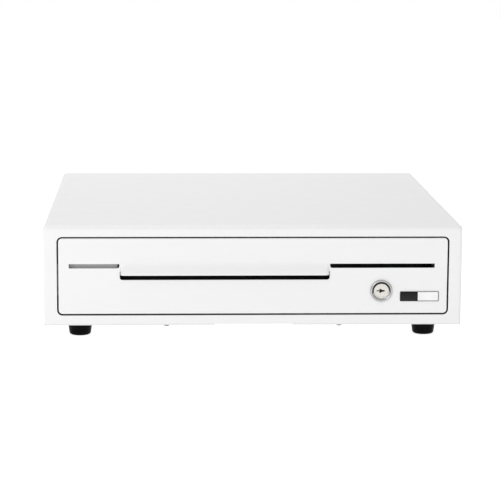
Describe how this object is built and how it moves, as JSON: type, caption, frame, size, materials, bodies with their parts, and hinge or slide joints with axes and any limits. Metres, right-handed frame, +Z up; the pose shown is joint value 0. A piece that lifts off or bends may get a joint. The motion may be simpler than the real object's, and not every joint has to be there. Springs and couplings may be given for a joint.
{
  "type": "cash drawer",
  "caption": "Low white steel cabinet on rubber feet with a sliding cash drawer: note slots and a bent grip lip in its front, a key lock, a lift-out till with note clips and coin cups.",
  "frame": {"origin": "centre of the whole drawer's footprint, on the surface that the feet stand on", "axes": "+X to the right, +Y from the front into the cabinet, +Z up; the drawer opens towards -Y"},
  "size_m": [0.41, 0.416, 0.1114],
  "materials": {
    "white_powder_coat": "fine satin powder coat",
    "white_coat_inner": "fine satin powder coat",
    "zinc_plate": "bright zinc plating",
    "bearing_steel": "polished",
    "lock_chrome": "polished chrome plating",
    "lock_core_nickel": "satin nickel plating",
    "black_rubber": "matte moulded rubber",
    "black_abs": "fine textured moulding",
    "clip_plastic": "smooth moulding",
    "spring_steel": "drawn wire",
    "coil_tape": "insulating tape over enamelled wire",
    "cage_strip": "pressed yellow-plated strip",
    "dark_plastic": "moulded",
    "blue_nylon": "moulded nylon",
    "cable_jacket": "round PVC jacket",
    "badge_plate": "plain plate, half light and half dark"
  },
  "bodies": {
    "cabinet": {"top_cover": "white_powder_coat", "base_pan": "white_coat_inner", "rear_panel": "white_powder_coat", "foot_front_left": "black_rubber", "foot_front_right": "black_rubber", "foot_rear_left": "black_rubber", "foot_rear_right": "black_rubber", "foot_screws": "zinc_plate", "base_screws": "zinc_plate", "rear_panel_screws": "zinc_plate", "close_bumpers": "black_rubber", "rail_bracket_left": "zinc_plate", "rail_bracket_right": "zinc_plate", "outer_rail_left": "zinc_plate", "outer_rail_right": "zinc_plate", "mechanism_plate": "zinc_plate", "latch_pivot_post": "zinc_plate", "latch_spring": "spring_steel", "solenoid_frame": "zinc_plate", "solenoid_coil": "coil_tape", "microswitch": "dark_plastic", "ejector_bracket": "zinc_plate", "ejector_spring": "spring_steel", "interface_socket": "dark_plastic", "control_cable": "cable_jacket"},
    "drawer": {"drawer_front": "white_powder_coat", "drawer_tray": "white_coat_inner", "badge": "badge_plate", "lock_body": "lock_chrome", "lock_nut": "zinc_plate", "catch_strike": "zinc_plate", "inner_rail_left": "zinc_plate", "inner_rail_right": "zinc_plate", "inner_rail_screws": "zinc_plate", "front_screws": "zinc_plate", "till_ledge_left": "white_coat_inner", "till_ledge_right": "white_coat_inner", "lever_rivet": "zinc_plate", "note_guide": "white_powder_coat"},
    "cage_left": {"ball_cage_left": "cage_strip", "bearing_balls_left": "bearing_steel"},
    "cage_right": {"ball_cage_right": "cage_strip", "bearing_balls_right": "bearing_steel"},
    "lock_core": {"lock_plug": "lock_core_nickel", "lock_cam": "zinc_plate"},
    "lock_lever": {"lock_lever": "zinc_plate"},
    "latch": {"latch_lever": "zinc_plate"},
    "plunger": {"solenoid_plunger": "zinc_plate"},
    "switch_lever": {"switch_lever": "spring_steel"},
    "ejector": {"ejector_pusher": "blue_nylon"},
    "till": {"till_tray": "black_abs", "clip_rod": "bearing_steel", "clip_springs": "spring_steel"},
    "coin_tray": {"coin_tray": "black_abs"},
    "clip_1": {"note_clip_1": "clip_plastic"},
    "clip_2": {"note_clip_2": "clip_plastic"},
    "clip_3": {"note_clip_3": "clip_plastic"},
    "clip_4": {"note_clip_4": "clip_plastic"},
    "clip_5": {"note_clip_5": "clip_plastic"}
  },
  "joints": [
    {"name": "drawer_slide", "type": "slide", "parent": "cabinet", "child": "drawer", "axis": [0, -1, 0], "range_m": [0, 0.26]},
    {"name": "cage_left_slide", "type": "slide", "parent": "cabinet", "child": "cage_left", "axis": [0, -1, 0], "range_m": [0, 0.1301]},
    {"name": "cage_right_slide", "type": "slide", "parent": "cabinet", "child": "cage_right", "axis": [0, -1, 0], "range_m": [0, 0.1301]},
    {"name": "ejector_slide", "type": "slide", "parent": "cabinet", "child": "ejector", "axis": [0, -1, 0], "range_m": [0, 0.0301]},
    {"name": "latch_turn", "type": "hinge", "parent": "cabinet", "child": "latch", "pos_m": [0.1459, 0.183, 0.0375], "axis": [0, 0, -1], "range_deg": [0, 12]},
    {"name": "plunger_slide", "type": "slide", "parent": "cabinet", "child": "plunger", "axis": [-1, 0, 0], "range_m": [0, 0.00468]},
    {"name": "switch_press", "type": "hinge", "parent": "cabinet", "child": "switch_lever", "pos_m": [0.0615, 0.1535, 0.0214], "axis": [0, 0, 1], "range_deg": [0, 7], "stiffness_Nm_per_rad": 0.01},
    {"name": "lock_turn", "type": "hinge", "parent": "drawer", "child": "lock_core", "pos_m": [0.1255, -0.191, 0.0471], "axis": [0, 1, 0], "range_deg": [-45, 45]},
    {"name": "lock_lever_swing", "type": "hinge", "parent": "drawer", "child": "lock_lever", "pos_m": [0.1255, -0.023, 0.0295], "axis": [0, 0, 1], "range_deg": [-3.38, 3.38]},
    {"name": "till_lift", "type": "slide", "parent": "drawer", "child": "till", "axis": [0, 0, 1], "range_m": [0, 0.005]},
    {"name": "coin_tray_lift", "type": "slide", "parent": "till", "child": "coin_tray", "axis": [0, 0, 1], "range_m": [0, 0.005]},
    {"name": "clip_1_lift", "type": "hinge", "parent": "till", "child": "clip_1", "pos_m": [-0.1384, 0.119, 0.082], "axis": [-1, 0, 0], "range_deg": [0, 47], "stiffness_Nm_per_rad": 0.02, "springref_deg": -28.65},
    {"name": "clip_2_lift", "type": "hinge", "parent": "till", "child": "clip_2", "pos_m": [-0.0692, 0.119, 0.082], "axis": [-1, 0, 0], "range_deg": [0, 47], "stiffness_Nm_per_rad": 0.02, "springref_deg": -28.65},
    {"name": "clip_3_lift", "type": "hinge", "parent": "till", "child": "clip_3", "pos_m": [0, 0.119, 0.082], "axis": [-1, 0, 0], "range_deg": [0, 47], "stiffness_Nm_per_rad": 0.02, "springref_deg": -28.65},
    {"name": "clip_4_lift", "type": "hinge", "parent": "till", "child": "clip_4", "pos_m": [0.0692, 0.119, 0.082], "axis": [-1, 0, 0], "range_deg": [0, 47], "stiffness_Nm_per_rad": 0.02, "springref_deg": -28.65},
    {"name": "clip_5_lift", "type": "hinge", "parent": "till", "child": "clip_5", "pos_m": [0.1384, 0.119, 0.082], "axis": [-1, 0, 0], "range_deg": [0, 47], "stiffness_Nm_per_rad": 0.02, "springref_deg": -28.65}
  ],
  "couplings": [
    {"joint": "cage_left_slide", "follows": "drawer_slide", "ratio": 0.5},
    {"joint": "cage_right_slide", "follows": "drawer_slide", "ratio": 0.5},
    {"joint": "ejector_slide", "follows": "drawer_slide", "ratio": 0.11539},
    {"joint": "plunger_slide", "follows": "latch_turn", "m_per_rad": 0.022081},
    {"joint": "lock_lever_swing", "follows": "lock_turn", "ratio": -0.074774}
  ]
}
